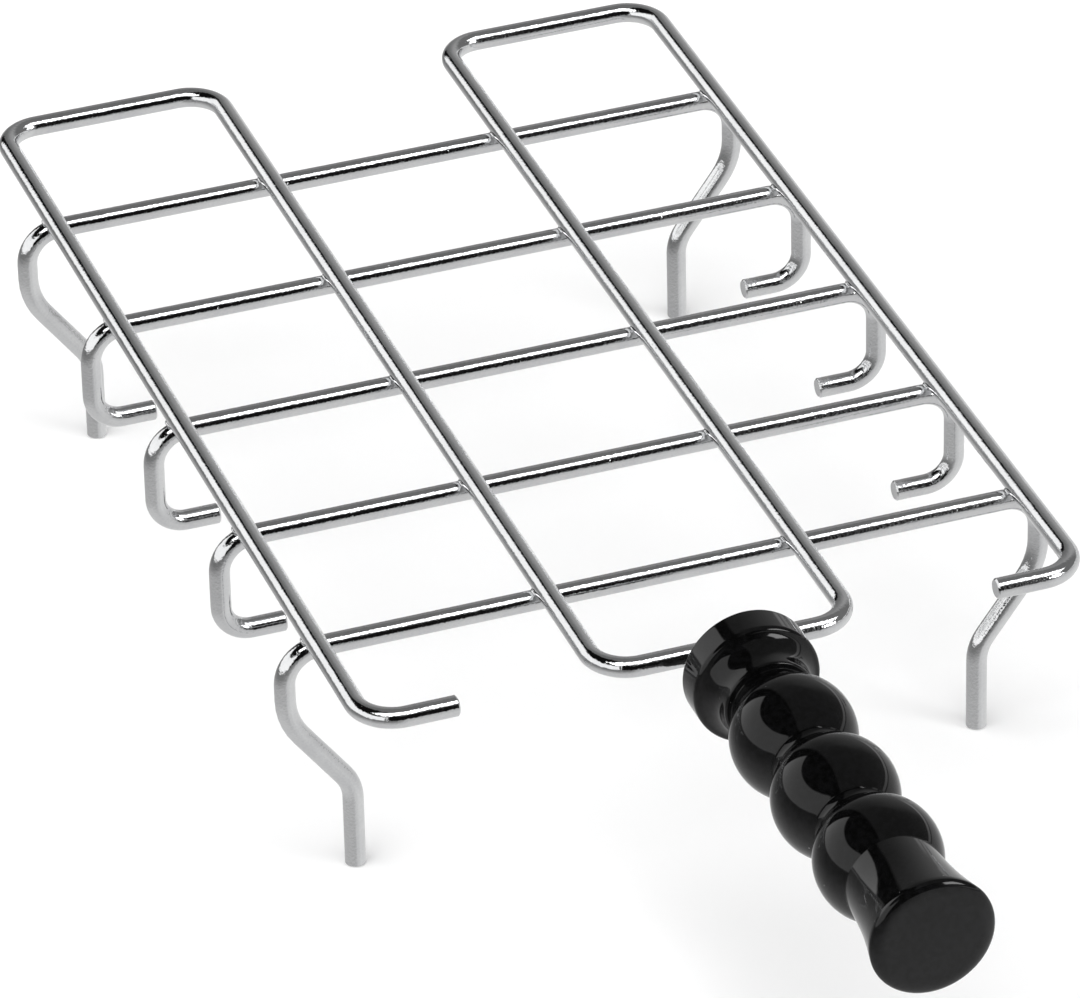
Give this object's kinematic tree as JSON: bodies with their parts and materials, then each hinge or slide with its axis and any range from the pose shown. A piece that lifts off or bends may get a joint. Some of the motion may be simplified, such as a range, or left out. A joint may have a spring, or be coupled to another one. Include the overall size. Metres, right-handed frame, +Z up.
{
  "type": "toast rack",
  "caption": "Chrome wire toast rack: bent rails on cross wires that end in legs and hooks, with a turned gloss black handle.",
  "frame": {"origin": "on the plane that the feet stand on, at the middle of the overall width and of the overall length with the handle", "axes": "+Z up, +Y from the handle towards the back loops, +X to the right seen from the handle end"},
  "size_m": [0.1544, 0.3342, 0.0664],
  "materials": {
    "chrome_wire": "bright chrome plate over drawn steel wire",
    "handle_black": "polished gloss black",
    "brass": "turned",
    "zinc_steel": "zinc plated"
  },
  "bodies": {
    "root": {"grid_wire": "chrome_wire", "back_leg_wire": "chrome_wire", "back_hook_wire": "chrome_wire", "middle_hook_wire": "chrome_wire", "front_hook_wire": "chrome_wire", "front_leg_wire": "chrome_wire", "handle_grip": "handle_black", "threaded_insert": "brass", "handle_stud": "zinc_steel", "lock_nut": "zinc_steel", "washer": "zinc_steel"}
  },
  "joints": []
}
